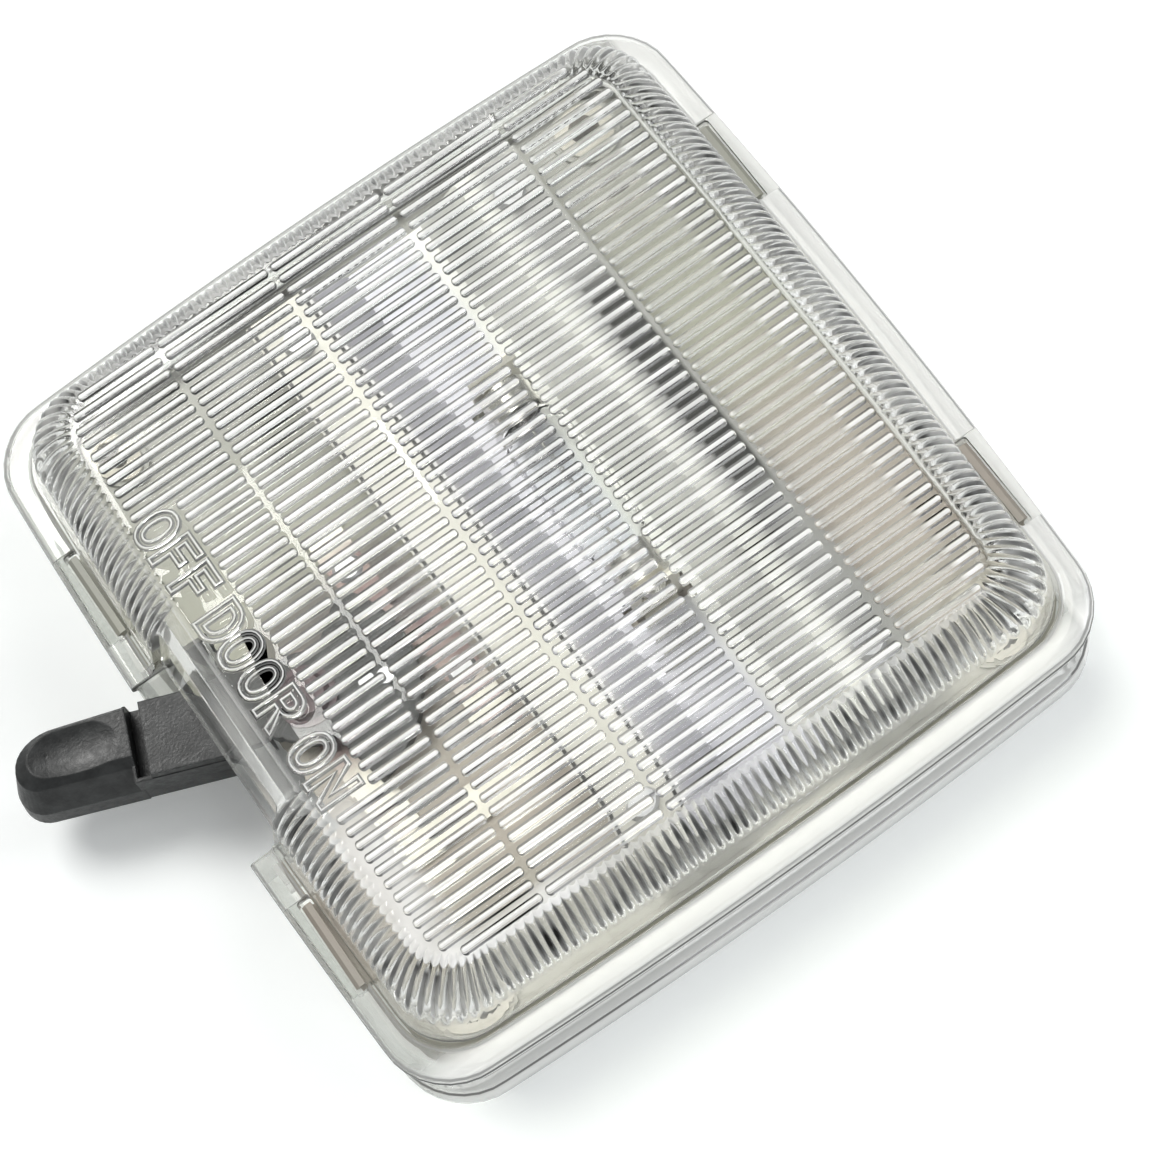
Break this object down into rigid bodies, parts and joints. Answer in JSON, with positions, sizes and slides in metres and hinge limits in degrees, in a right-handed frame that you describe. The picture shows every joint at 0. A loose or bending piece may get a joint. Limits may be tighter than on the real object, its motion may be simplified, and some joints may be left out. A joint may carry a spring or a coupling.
{
  "type": "car dome light",
  "caption": "Roof lamp with a clear ribbed lens that clips on, a tubular bulb over a bright reflector and a side lever for off, door and on.",
  "frame": {"origin": "middle of the four screw holes, in the plane of the lamp's back", "axes": "+Z out of the lens, +X away from the side with the lever, +Y towards the OFF end of the legend"},
  "size_m": [0.1217, 0.1062, 0.0289],
  "materials": {
    "lens": "clear moulded, ribbed",
    "base": "pale grey-green moulded",
    "lever": "black moulded, lightly shiny",
    "reflector": "bright rolled sheet",
    "glass": "clear",
    "cap": "plated",
    "wire": "drawn",
    "contact": "stamped, satin",
    "fastener": "zinc plated"
  },
  "bodies": {
    "housing": {"lens": "lens", "base": "base", "screw_eyelets": "contact", "reflector": "reflector", "reflector_screws": "fastener", "bulb_glass": "glass", "bulb_cap_front": "cap", "bulb_cap_rear": "cap", "filament": "wire", "lead_wires": "wire", "front_clip": "contact", "rear_clip": "contact", "door_contact": "contact", "ground_contact": "contact", "contact_rivets": "fastener", "pivot_pin": "fastener", "pivot_washer": "fastener"},
    "lever": {"switch_lever": "lever", "wiper": "contact", "wiper_rivets": "fastener"}
  },
  "joints": [
    {"name": "lever_turn", "type": "hinge", "parent": "housing", "child": "lever", "pos_m": [-0.035, -0.001, 0.0141], "axis": [0, 0, 1], "range_deg": [0, 44]}
  ]
}
